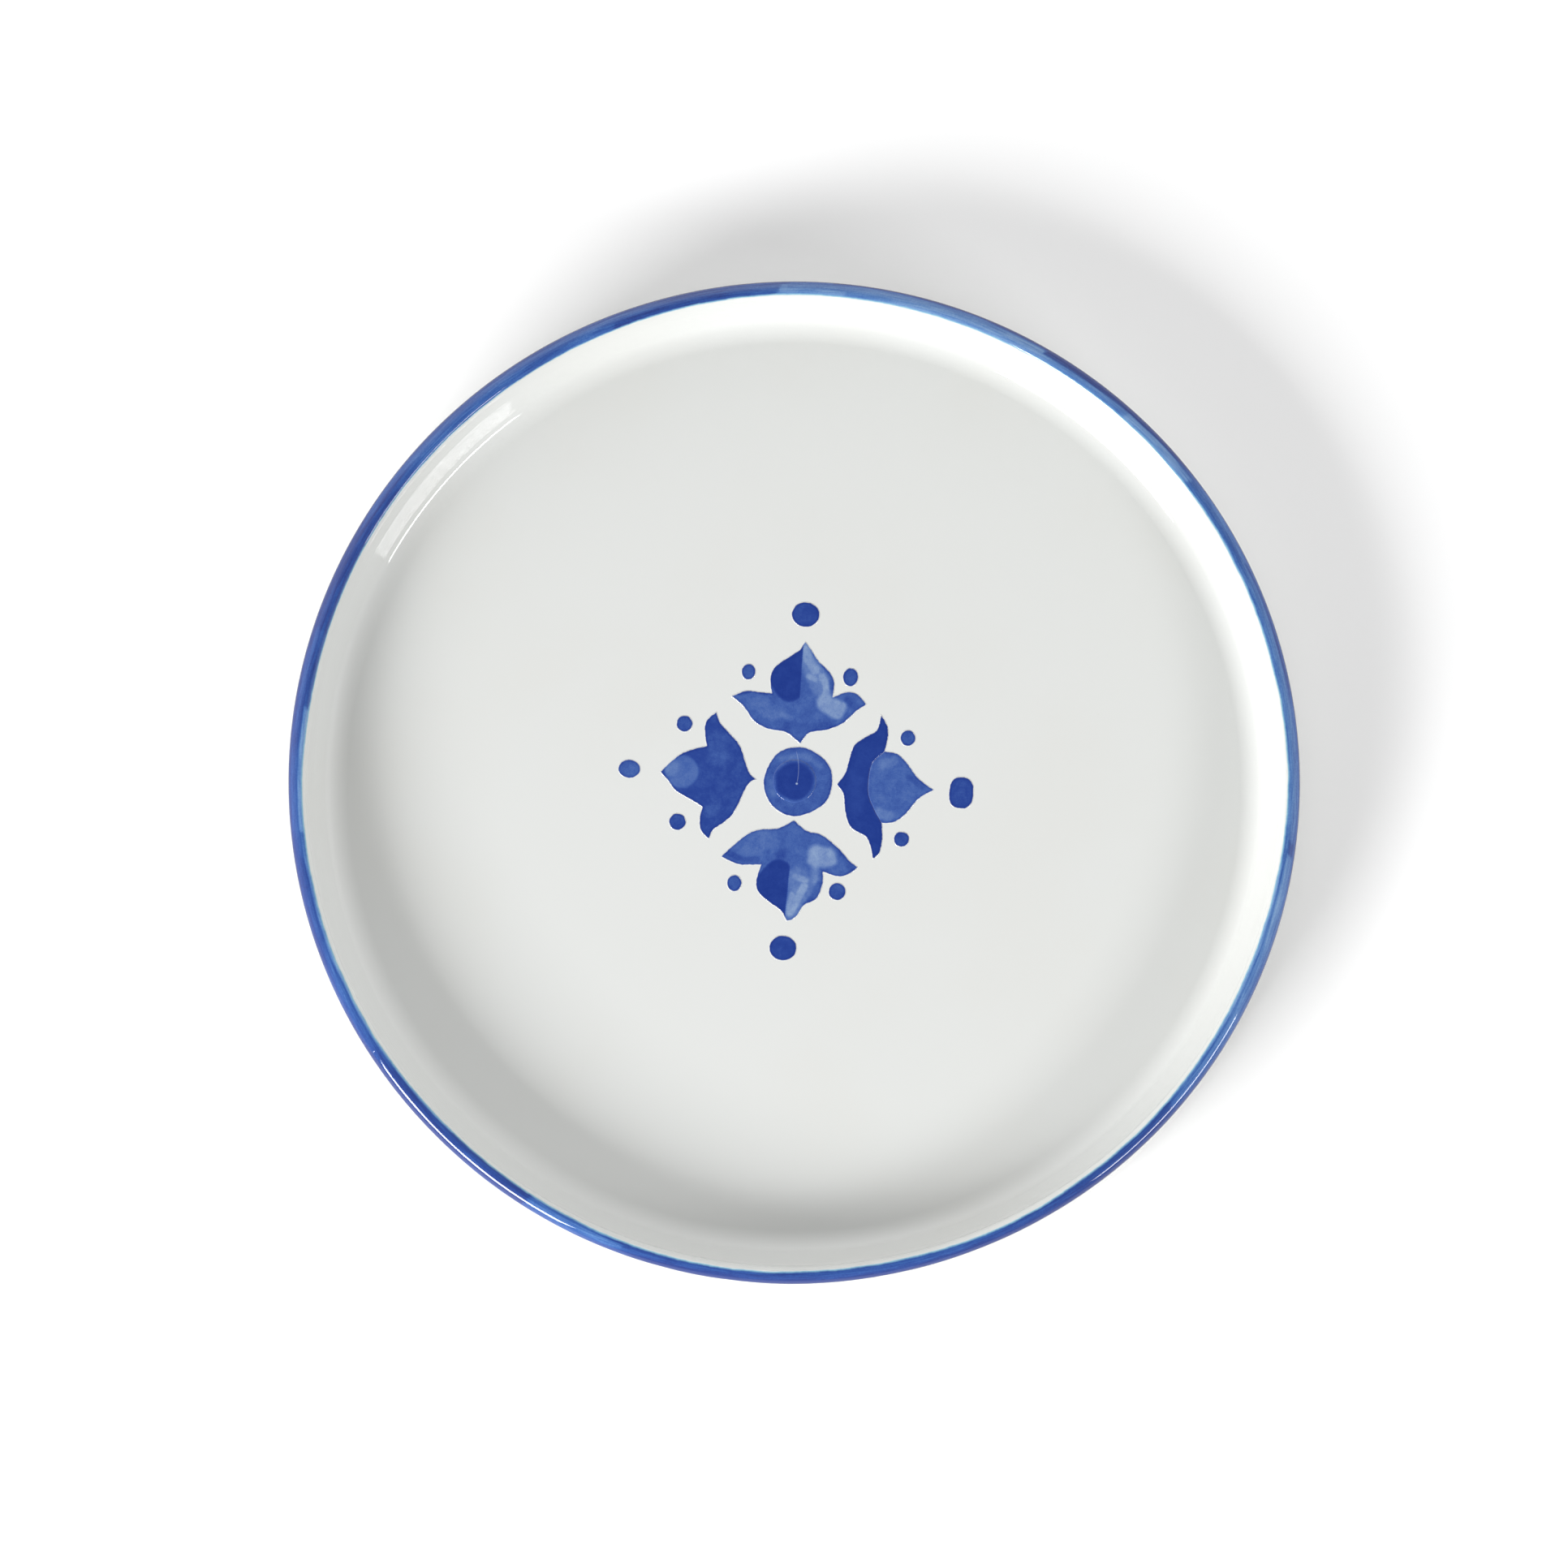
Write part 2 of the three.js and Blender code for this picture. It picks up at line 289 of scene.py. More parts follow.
def foot_section():
    """The bare tip of the foot ring, from its inner side to its outer side."""
    inner = (FOOT_INNER_RADIUS + FOOT_ROUND, FOOT_ROUND)
    outer = (FOOT_OUTER_RADIUS - FOOT_ROUND, FOOT_ROUND)
    inner_round = arc(inner, FOOT_ROUND, math.pi, 1.5 * math.pi, 5)
    outer_round = arc(outer, FOOT_ROUND, 1.5 * math.pi, 2 * math.pi, 5)
    return join(inner_round, line(inner_round[-1], outer_round[0], 8), outer_round)


def bead(start, stop):
    """The rounded edge of a coat, from one of its faces to the other."""
    middle = (start + stop) / 2
    half = (start - stop) / 2
    down = np.array([-abs(half[1]), -abs(half[0])])
    angles = np.linspace(0, math.pi, 7)[1:-1, None]
    return middle + half * np.cos(angles) + down * np.sin(angles)


def revolve(section, turns):
    """Points and faces of a section turned round the axis. It starts and ends on the axis."""
    rings = section[1:-1]
    angles = np.arange(turns) * 2 * math.pi / turns
    x = rings[:, :1] * np.cos(angles)
    y = rings[:, :1] * np.sin(angles)
    z = np.repeat(rings[:, 1:], turns, 1)
    points = np.stack([x, y, z], -1).reshape(-1, 3)
    first, last = len(points), len(points) + 1
    poles = [[0, 0, section[0, 1]], [0, 0, section[-1, 1]]]
    step = np.arange(turns)
    after = (step + 1) % turns
    faces = []
    for ring in range(len(rings) - 1):
        low, high = ring * turns, (ring + 1) * turns
        quads = np.column_stack([low + step, low + after, high + after, high + step])
        faces += quads.tolist()
    top = (len(rings) - 1) * turns
    faces += [[first, after[i], i] for i in step]
    faces += [[top + i, top + after[i], last] for i in step]
    return np.vstack([points, poles]), faces


# ---------------------------------------------------------------- clay and glaze


def make_body():
    section = np.vstack([under_section(-GLAZE), foot_section(), upper_section(-GLAZE)[::-1]])
    points, faces = revolve(section, TURNS)
    return make_piece("clay_body", handmade(points), faces, "plate_body")


def make_coat():
    inside = upper_section(-GLAZE)
    outside = upper_section(0)[::-1]
    section = np.vstack([inside, bead(inside[-1], outside[0]), outside])
    points, faces = revolve(section, TURNS)
    return make_piece("white_glaze", handmade(points), faces, "glaze_coat")


def make_base_coat():
    outside = under_section(0)
    inside = under_section(-GLAZE)[::-1]
    section = np.vstack([outside, bead(outside[-1], inside[0]), inside])
    points, faces = revolve(section, TURNS)
    return make_piece("white_glaze_base", handmade(points), faces, "glaze_base")


# ---------------------------------------------------------------- painted band

# Distance of the band's inner edge inside the lip's crest, along the glaze, at some angles
BAND_INNER_EDGE = [
    (0, 0.3), (15, 0.7), (39, 0.7), (54, 1.1), (72, 1.3), (93, 1.0), (111, 1.6), (126, 1.9),
    (146, 1.5), (168, 1.6), (180, 0.9), (194, 0.7), (210, 0.7), (225, 1.0), (236, 0.8), (243, 0.5),
    (258, 0.0), (279, 0.3), (294, 0.0), (306, 0.3), (324, 0.6), (338, 0.9), (352, 0.6),
]
# The same outside the crest
BAND_OUTER_EDGE = [
    (0, 4.7), (45, 4.9), (90, 5.3), (135, 4.9), (180, 4.7), (210, 4.5), (240, 4.1), (270, 4.1),
    (300, 4.1), (330, 4.6),
]

# Painted shade on the outer turn of the lip, at some angles: how far it darkens the paint there,
# least on the side towards the key light
BAND_EDGE_SHADE = [
    (0, 0.70), (60, 0.75), (120, 0.80), (160, 0.60), (190, 0.20), (230, 0.10), (280, 0.25),
    (330, 0.50),
]
EDGE_SHADE_START = 2.9  # distance from the crest at which the painted shade sets in
EDGE_SHADE_FULL = 4.0

# Tone of the band under its strokes. Tones run from 0, dark, to 1, pale
BAND_GROUND = [
    (10, 0.55), (25, 0.50), (45, 0.62), (60, 0.62), (80, 0.60), (92, 0.32), (110, 0.30), (125, 0.34),
    (142, 0.28), (160, 0.20), (180, 0.25), (205, 0.25), (222, 0.22), (240, 0.45), (256, 0.20),
    (270, 0.12), (288, 0.14), (305, 0.15), (322, 0.40), (340, 0.60), (352, 0.58),
]

# Brush strokes of the band, each laid clockwise from where the brush touches down. Places across
# the band, seen from above, run from 0 at its inner edge to 1 at the outside of the plate.
# Start, sweep, (low, high) at the start, (low, high) at the end, tone, strength
BAND_STROKES = [
    (91.8, 36, (0.00, 0.75), (0.00, 0.45), 0.72, 0.9),
    (91.0, 14, (0.45, 0.95), (0.30, 0.60), 0.55, 0.8),
    (84.0, 7, (0.10, 0.55), (0.00, 0.35), 0.40, 0.6),
    (86.0, 50, (0.90, 1.00), (0.62, 1.00), 0.08, 0.9),
    (62.0, 24, (0.00, 0.20), (0.00, 0.30), 0.50, 0.6),
    (56.5, 22, (0.00, 0.35), (0.05, 0.25), 0.42, 0.6),
    (60.0, 26, (0.45, 1.00), (0.72, 1.00), 0.06, 0.95),
    (48.0, 12, (0.10, 0.60), (0.05, 0.60), 0.78, 0.7),
    (37.4, 15, (0.08, 0.72), (0.10, 0.55), 0.36, 0.9),
    (26.0, 18, (0.68, 0.78), (0.72, 0.90), 0.12, 0.8),
    (22.7, 36, (0.00, 0.20), (0.00, 0.16), 0.32, 0.7),
    (20.0, 60, (0.40, 0.62), (0.45, 0.70), 0.62, 0.5),
    (353.0, 2.6, (0.35, 0.75), (0.35, 0.75), 0.22, 0.8),
    (351.5, 13, (0.40, 0.80), (0.40, 0.70), 0.72, 0.8),
    (352.0, 34, (0.22, 0.30), (0.24, 0.31), 0.20, 0.75),
    (350.0, 30, (0.00, 0.20), (0.00, 0.18), 0.68, 0.7),
    (338.0, 20, (0.32, 0.60), (0.34, 0.62), 0.56, 0.6),
    (319.2, 46, (0.12, 0.80), (0.05, 0.90), 0.14, 0.95),
    (290.0, 32, (0.06, 0.70), (0.05, 0.75), 0.20, 0.7),
    (257.0, 22, (0.05, 0.45), (0.05, 0.50), 0.12, 0.7),
    (250.0, 14, (0.30, 0.80), (0.25, 0.75), 0.50, 0.8),
    (237.8, 26, (0.00, 0.92), (0.12, 0.95), 0.08, 0.95),
    (226.0, 48, (0.00, 0.14), (0.00, 0.30), 0.72, 0.8),
    (199.0, 12, (0.22, 0.50), (0.25, 0.50), 0.10, 0.6),
    (186.0, 20, (0.00, 0.34), (0.00, 0.36), 0.74, 0.85),
    (171.5, 9, (0.10, 0.50), (0.06, 0.50), 0.14, 0.8),
    (162.5, 26, (0.02, 1.00), (0.04, 0.55), 0.10, 0.95),
    (156.0, 26, (0.62, 0.72), (0.28, 0.38), 0.00, 0.6),
    (150.0, 42, (0.70, 1.00), (0.42, 1.00), 0.32, 0.6),
    (139.0, 13, (0.38, 0.42), (0.36, 0.41), 0.62, 0.6),
    (111.5, 19, (0.04, 0.42), (0.00, 0.44), 0.10, 0.9),
]
BRUSH_LIFT = 0.35  # the last share of a stroke, over which it fades
BRUSH_TOUCH = 0.35  # degrees over which a stroke sets in
BRUSH_SLANT = 0.8  # degrees that a stroke's start leans by, across the whole band
BRUSH_SOFTNESS = 0.07  # of a stroke's two sides, as a share of the band's width


def stroke_mask(angle, across, start, sweep, at_start, at_end):
    """How strongly a stroke covers each point of the band."""
    slant = BRUSH_SLANT * (across - 0.5)
    along = ((start - slant - angle) % 360) / sweep
    low = blend(at_start[0], at_end[0], along)
    high = blend(at_start[1], at_end[1], along)
    touch = smoothstep(0, BRUSH_TOUCH / sweep, along)
    lift = 1 - smoothstep(1 - BRUSH_LIFT, 1, along)
    inside = smoothstep(low - BRUSH_SOFTNESS, low + BRUSH_SOFTNESS, across)
    inside = inside * (1 - smoothstep(high - BRUSH_SOFTNESS, high + BRUSH_SOFTNESS, across))
    return touch * lift * inside


def band_tone(angle, across):
    tone = round_trip(angle, BAND_GROUND) + 0.05 * angle_noise(angle, 21, 6, 40)
    wander = 0.03 * angle_noise(angle, 22, 8, 60)
    for *shape, target, strength in BAND_STROKES:
        mask = stroke_mask(angle, across + wander, *shape)
        tone = blend(tone, target, mask * strength)
    return np.clip(tone, 0, 1)


def lip_curve():
    """The glaze over the lip by distance from the crest: positive outwards, negative inwards."""
    inner_round, outer_round = lip_stretches(0)
    wall = line(outer_round[-1], (OUTER_RADIUS, UNDERSIDE_HEIGHT + HEEL_ROUND), 8)
    inner_face = inner_wall(0)[-WALL_STEPS:]
    curve = join(inner_face, inner_round, outer_round, wall)
    run = np.concatenate([[0], np.cumsum(np.linalg.norm(np.diff(curve, axis=0), axis=1))])
    crest = run[WALL_STEPS - 1 + LIP_STEPS]
    slope = np.gradient(curve, run, axis=0)
    normal = np.column_stack([-slope[:, 1], slope[:, 0]])
    return run - crest, curve, normal


def band_faces():
    """Faces of the band's outside and underside, and of the walls along its two edges. The
    underside's points come after all of the outside's."""
    step = np.arange(BAND_TURNS)
    after = (step + 1) % BAND_TURNS
    under = (BAND_ROWS + 1) * BAND_TURNS
    last = BAND_ROWS * BAND_TURNS
    faces = []
    for row in range(BAND_ROWS):
        low, high = row * BAND_TURNS, (row + 1) * BAND_TURNS
        quads = np.column_stack([low + step, high + step, high + after, low + after])
        faces += quads[:, ::-1].tolist() + (quads + under).tolist()
    walls = np.column_stack([step, after, under + after, under + step])
    faces += walls[:, ::-1].tolist() + (walls + last).tolist()
    return faces


def make_band():
    """The band as a closed film. Its rows of points run from the inner edge to the outer edge."""
    run, curve, normal = lip_curve()
    angle = np.arange(BAND_TURNS) * 360 / BAND_TURNS
    inner = -round_trip(angle, BAND_INNER_EDGE) - 0.07 * angle_noise(angle, 31, 12, 90)
    outer = round_trip(angle, BAND_OUTER_EDGE) + 0.12 * angle_noise(angle, 32, 6, 60)
    bleed = 2 * BLEED
    share = np.linspace(0, 1, BAND_ROWS + 1)[:, None]
    distance = blend(inner - bleed, outer + bleed, share)
    edge = np.minimum(distance - inner, outer - distance)
    seen = np.interp(distance, run, curve[:, 0])
    seen_inner = np.interp(inner, run, curve[:, 0])
    across = (seen - seen_inner) / (OUTER_RADIUS - seen_inner)

    def at(height):
        r = np.interp(distance, run, curve[:, 0]) + height * np.interp(distance, run, normal[:, 0])
        z = np.interp(distance, run, curve[:, 1]) + height * np.interp(distance, run, normal[:, 1])
        turned = np.radians(angle)
        return np.stack([r * np.cos(turned), r * np.sin(turned), z], -1).reshape(-1, 3)

    rise = blend(EDGE_RELIEF, RELIEF, smoothstep(-bleed, EDGE_WIDTH, edge))
    points = np.vstack([at(rise), at(0 * rise)])
    around = np.broadcast_to(angle, distance.shape)
    # Places across the band are as seen from above, so the whole outer wall has the outermost tone
    layers = {
        "edge": edge,
        "fringe": distance - inner,
        # Painted shade on the outer turn of the lip, by angle
        "dark_edge": round_trip(around, BAND_EDGE_SHADE) * smoothstep(EDGE_SHADE_START, EDGE_SHADE_FULL, distance),
        "tone": band_tone(around, across),
        "run": distance,
    }
    attributes = {key: np.tile(values.ravel(), 2) for key, values in layers.items()}
    return make_piece(
        "blue_band", handmade(points), band_faces(), "rim_band", attributes
    )


# ---------------------------------------------------------------- painted films on the floor


def outline_of(node):
    """The outline of a CAD film, counter-clockwise, from the edges round its top face."""
    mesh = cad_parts[node].data
    points = np.array([v.co for v in mesh.vertices]) / MM
    keys = [tuple(p) for p in np.round(points[:, :2], 3)]
    top = points[:, 2].max() - 0.01
    following = {}
    edges = set()
    for face in mesh.polygons:
        loop = list(face.vertices)
        if min(points[i][2] for i in loop) > top:
            edges |= {(keys[a], keys[b]) for a, b in zip(loop, loop[1:] + loop[:1])}
    for a, b in edges:
        if (b, a) not in edges:
            following[a] = b
    start = here = min(following)
    outline = []
    while True:
        outline.append(here)
        here = following[here]
        if here == start:
            return refined(np.array(outline))


def refined(loop, step=0.3, corner=math.radians(38)):
    """The outline with smooth curves between its corners, and points about a step apart."""
    before = loop - np.roll(loop, 1, 0)
    after = np.roll(loop, -1, 0) - loop
    cross = before[:, 0] * after[:, 1] - before[:, 1] * after[:, 0]
    sharp = np.abs(np.arctan2(cross, (before * after).sum(1))) > corner
    count = len(loop)
    out = []
    for i in range(count):
        a, b = loop[i], loop[(i + 1) % count]
        previous = a if sharp[i] else loop[i - 1]
        following = b if sharp[(i + 1) % count] else loop[(i + 2) % count]
        steps = max(1, round(np.linalg.norm(b - a) / step))
        for t in np.arange(steps) / steps:
            out.append(smooth_between(previous, a, b, following, t))
    return np.array(out)


def distance_to_lines(points, a, b):
    """Distance of each point from the nearest of the straight lines from a to b."""
    along = b - a
    to_point = points[:, None] - a
    t = np.clip((to_point * along).sum(-1) / (along**2).sum(-1), 0, 1)
    return np.linalg.norm(to_point - t[..., None] * along, axis=-1).min(1)


def signed_distance(points, loop):
    """Distance of each point from an outline, positive inside it."""
    a, b = loop, np.roll(loop, -1, 0)
    along = b - a
    distance = distance_to_lines(points, a, b)
    x, y = points[:, :1], points[:, 1:]
    spans = (a[:, 1] > y) != (b[:, 1] > y)
    rise = np.where(along[:, 1] == 0, 1, along[:, 1])
    crossing = a[:, 0] + (y - a[:, 1]) / rise * along[:, 0]
    inside = (spans & (x < crossing)).sum(1) % 2 == 1
    return np.where(inside, distance, -distance)


ROW_SPACING = 0.866  # of a triangular grid, as a share of the spacing in a row


def triangular_grid(low, high, spacing):
    rows = np.arange(math.ceil((high[1] - low[1]) / (spacing * ROW_SPACING)) + 1)
    columns = np.arange(math.ceil((high[0] - low[0]) / spacing) + 2)
    x = low[0] - spacing / 2 + columns * spacing + (rows[:, None] % 2) * spacing / 2
    y = low[1] + rows[:, None] * spacing * ROW_SPACING + 0 * columns
    index = rows[:, None] * len(columns) + columns
    a, b = index[:-1, :-1], index[:-1, 1:]
    c, d = index[1:, :-1], index[1:, 1:]
    even = np.broadcast_to(rows[:-1, None] % 2 == 0, a.shape)
    first = np.where(even[..., None], np.stack([a, b, c], -1), np.stack([a, b, d], -1))
    second = np.where(even[..., None], np.stack([b, d, c], -1), np.stack([a, d, c], -1))
    triangles = np.concatenate([first.reshape(-1, 3), second.reshape(-1, 3)])
    return np.column_stack([x.ravel(), y.ravel()]), triangles


def edges_used_once(triangles):
    """Directed edges that have a triangle on one side only."""
    edges = triangles[:, [0, 1, 1, 2, 2, 0]].reshape(-1, 2)
    size = triangles.max() + 1
    forward = edges[:, 0] * size + edges[:, 1]
    backward = edges[:, 1] * size + edges[:, 0]
    return edges[~np.isin(forward, backward)]


def region(field, low, high):
    """Triangles that fill where a field is above zero, with the border moved onto its zero line."""
    points, triangles = triangular_grid(low, high, FILM_SPACING)
    value = field(points)
    triangles = triangles[value[triangles].mean(1) > 0]
    while True:
        starts, counts = np.unique(edges_used_once(triangles)[:, 0], return_counts=True)
        pinched = starts[counts > 1]
        if not len(pinched):
            break
        triangles = triangles[~np.isin(triangles, pinched).any(1)]
    used, triangles = np.unique(triangles, return_inverse=True)
    points, triangles = points[used], triangles.reshape(-1, 3)
    border = np.unique(edges_used_once(triangles))
    nudge = 0.01
    for _ in range(3):
        here = points[border]
        value = field(here)
        slope = np.column_stack([field(here + step) - value for step in nudge * np.eye(2)]) / nudge
        size = np.maximum((slope**2).sum(1), 0.25)
        points[border] = here - slope * (value / size)[:, None]
    return points, triangles


def make_film(name, node, field, painted, tone, height=0.0):
    """A closed film over the region where a field is above zero. painted gives the distance inside
    the paint's edge, and tone how pale the paint is, both from points."""
    low, high = corners(node)
    margin = 2 * BLEED
    flat, triangles = region(field, low[:2] - margin, high[:2] + margin)
    inside = painted(flat)
    rise = blend(EDGE_RELIEF, RELIEF, smoothstep(-BLEED, EDGE_WIDTH, inside))
    bottom = np.full(len(flat), FLOOR_HEIGHT + height)
    points = np.vstack([np.column_stack([flat, bottom + rise]), np.column_stack([flat, bottom])])
    count = len(flat)
    border = edges_used_once(triangles)
    walls = np.column_stack([border[:, 1], border[:, 0], border[:, 0] + count, border[:, 1] + count])
    faces = triangles.tolist() + (triangles[:, ::-1] + count).tolist() + walls.tolist()
    attributes = {"edge": np.tile(inside, 2), "tone": np.tile(np.clip(tone(flat), 0, 1), 2)}
    return make_piece(name, handmade(points), faces, node, attributes)


# The motif is painted turned clockwise, about its own middle
MOTIF_TURN = math.radians(-4.1)
CORE_MIDDLE = np.array([-0.7, 0.2])  # of the medallion's core, in the motif's own frame


def turn(points, angle):
    cosine, sine = math.cos(angle), math.sin(angle)
    return points @ np.array([[cosine, sine], [-sine, cosine]])


def motif_middle():
    low, high = corners("medallion_core")
    return (low[:2] + high[:2]) / 2 - turn(CORE_MIDDLE, MOTIF_TURN)


MOTIF_MIDDLE = motif_middle()


def in_motif(points):
    """Points in the motif's own frame: +Y towards the north palmette."""
    return turn(points - MOTIF_MIDDLE, -MOTIF_TURN)


def near_path(points, path, radius, soft):
    """1 within a radius of a path, fading to 0 over soft at its border."""
    path = np.array(path, float)
    if len(path) == 1:
        distance = np.linalg.norm(points - path[0], axis=1)
    else:
        distance = distance_to_lines(points, path[:-1], path[1:])
    return 1 - smoothstep(radius - soft / 2, radius + soft / 2, distance)


def washed(points, ground, washes):
    """A ground tone with washes laid over it: each a tone, a radius, a softness and a path."""
    tone = np.full(len(points), float(ground))
    for target, radius, soft, path in washes:
        tone = blend(tone, target, near_path(points, path, radius, soft))
    return tone


def north_tone(points):
    p = in_motif(points)
    tone = washed(p, 0.33, [
        (0.56, 3.2, 2.4, [(1.6, 33), (3.6, 29.5), (4.6, 27)]),
        (0.84, 1.2, 0.9, [(0.0, 36.6), (0.6, 33.2), (2.6, 30.4)]),
        (0.78, 0.8, 0.8, [(1.2, 28.6), (2.8, 28.0)]),
        (0.84, 0.9, 0.8, [(4.6, 28.8), (6.0, 26.6), (6.0, 24.2)]),
        (0.28, 0.9, 0.9, [(5.0, 32.2), (7.4, 29), (7.7, 26)]),
        (0.86, 2.5, 1.5, [(6.2, 21.8), (8.6, 20.4)]),
        (0.78, 1.3, 1.4, [(9.6, 19.0), (10.6, 21.2)]),
        (0.44, 2.0, 2.2, [(-11.4, 20.2), (-8, 17.6)]),
        (0.46, 0.7, 0.9, [(-5.4, 17.8), (-2.8, 17.0)]),
        (0.20, 0.8, 0.8, [(-17, 22.9), (-13.6, 24.1), (-10.2, 23.4)]),
        (0.24, 1.4, 1.8, [(-3.5, 14.9), (2.5, 14.8), (8, 15.6)]),
        (0.24, 1.0, 1.2, [(12.2, 22.9), (15, 20.8)]),
    ])
    shore = 21.4 + 0.17 * (p[:, 0] + 3.8) ** 2
    dark = smoothstep(-0.85, -1.05, p[:, 0]) * smoothstep(-0.5, 0.6, p[:, 1] - shore)
    return blend(tone, 0.04, dark)


def south_tone(points):
    p = in_motif(points)
    tone = washed(p, 0.35, [
        (0.54, 3.0, 2.2, [(2.4, -26), (3.0, -30), (1.6, -34.5)]),
        (0.86, 1.0, 0.8, [(3.8, -28), (2.4, -31.5), (0.6, -35.2)]),
        (0.84, 0.8, 0.8, [(0.8, -30.5), (0.4, -34.5)]),
        (0.76, 0.9, 0.9, [(1.6, -25.6), (4.0, -26.2)]),
        (0.62, 1.1, 1.6, [(6.4, -22.6), (6.6, -26.2)]),
        (0.28, 0.8, 0.9, [(7.8, -27), (6.6, -30.6), (4.6, -33)]),
        (0.84, 2.3, 1.5, [(6.6, -18.9), (9.4, -19.4)]),
        (0.76, 1.2, 1.4, [(5.4, -21), (8.4, -21.4), (11, -20.6)]),
        (0.42, 2.2, 2.0, [(-11, -18.4), (-6.5, -15.6)]),
        (0.20, 1.5, 2.4, [(-3.0, -19.6)]),
        (0.22, 0.8, 0.8, [(-17, -20.4), (-13, -21.9), (-9.2, -21.6)]),
        (0.26, 1.0, 1.2, [(10.4, -14.8), (14.6, -19.6), (16, -22.4)]),
    ])
    shore = -21.2 - 0.17 * (p[:, 0] + 3.2) ** 2
    dark = smoothstep(-0.45, -0.65, p[:, 0] - 0.03 * (p[:, 1] + 31))
    return blend(tone, 0.04, dark * smoothstep(0.5, -0.6, p[:, 1] - shore))


def west_tone(points):
    return washed(in_motif(points), 0.17, [
        (0.40, 4.4, 0.9, [(-31.0, 0.6)]),
        (0.55, 2.0, 1.4, [(-33.6, 1.3)]),
        (0.27, 2.4, 3.0, [(-22, 9.5), (-21, 5)]),
        (0.26, 2.2, 3.0, [(-22, -9)]),
    ])


def crescent_tone(points):
    return washed(in_motif(points), 0.05, [(0.10, 2.0, 3.0, [(16, 6), (16.5, -6)])])


def east_bud_tone(points):
    return washed(in_motif(points), 0.36, [
        (0.50, 1.3, 1.2, [(22.6, 6.4), (25.4, 7.4)]),
        (0.56, 1.3, 1.2, [(22.6, -6.6), (25.0, -7.4)]),
        (0.26, 0.8, 1.4, [(30, 3.6), (33.6, 1)]),
    ])


def medallion_tone(points):
    return washed(in_motif(points), 0.30, [
        (0.48, 0.8, 1.6, [(-4.4, 5.8), (1.5, 7.2), (5.8, 4.8)]),
        (0.40, 0.8, 1.6, [(-7.2, 0), (-6, -3.5)]),
    ])


def flat_tone(tone):
    def everywhere(points):
        return np.full(len(points), float(tone))
    return everywhere


def make_plain_film(name, node, tone, height=0.0):
    """A film that is the whole of its own painted shape."""
    loop = outline_of(node)

    def painted(points):
        return signed_distance(points, loop)

    def field(points):
        return painted(points) + BLEED

    return make_film(name, node, field, painted, tone, height)


def seam_of(first, second):
    """Points that two outlines share."""
    gap = np.linalg.norm(first[:, None] - second, axis=-1).min(1)
    return first[gap < 0.05]


def edge_distance(points, loops, seam):
    """Distance to the outlines, leaving out the seam between them."""
    edge = np.vstack(loops)
    from_seam = np.linalg.norm(edge[:, None] - seam, axis=-1).min(1)
    edge = edge[from_seam > 0.25]
    return np.linalg.norm(points[:, None] - edge, axis=-1).min(1)


def make_east_palmette():
    """Two films that meet along a seam, where neither fades. Away from it both end as usual."""
    crescent = outline_of("palmette_east_crescent")
    bud = outline_of("palmette_east_bud")
    seam = seam_of(crescent, bud)

    def painted(points):
        """Distance inside the outer edge of the two shapes together."""
        inside = np.maximum(signed_distance(points, crescent), signed_distance(points, bud))
        deep = np.minimum(edge_distance(points, [crescent, bud], seam), 9)
        return np.where(inside > -0.02, deep, inside)

    def half(part, slot, own_loop, other_loop, tone):
        def field(points):
            own = signed_distance(points, own_loop)
            other = signed_distance(points, other_loop)
            return np.minimum(np.maximum(own, other) + BLEED, own - other)

        return make_film(f"painted_{part}", f"palmette_{part}", field, painted, tone)

    return [
        half("east_crescent", "cobalt_dark", crescent, bud, crescent_tone),
        half("east_bud", "cobalt_mid", bud, crescent, east_bud_tone),
    ]


def make_films():
    films = [
        make_plain_film("painted_medallion", "medallion", medallion_tone),
        make_plain_film("painted_north", "palmette_north", north_tone),
        make_plain_film("painted_south", "palmette_south", south_tone),
        make_plain_film("painted_west", "palmette_west", west_tone),
        *make_east_palmette(),
    ]
    for side, tone in {"north": 0.15, "east": 0.17, "south": 0.14, "west": 0.33}.items():
        node = f"large_dot_{side}"
        films.append(make_plain_film(f"painted_{node}", node, flat_tone(tone)))
    for number in range(1, 9):
        node = f"small_dot_{number}"
        tone = 0.2 + 0.03 * (number % 3)
        films.append(make_plain_film(f"painted_{node}", node, flat_tone(tone)))
    return films


def make_core():
    """The dark blot over the medallion. It lies on the medallion's film."""
    return make_plain_film(
        "painted_core", "medallion_core", flat_tone(0.0), height=RELIEF
    )


# ---------------------------------------------------------------- materials


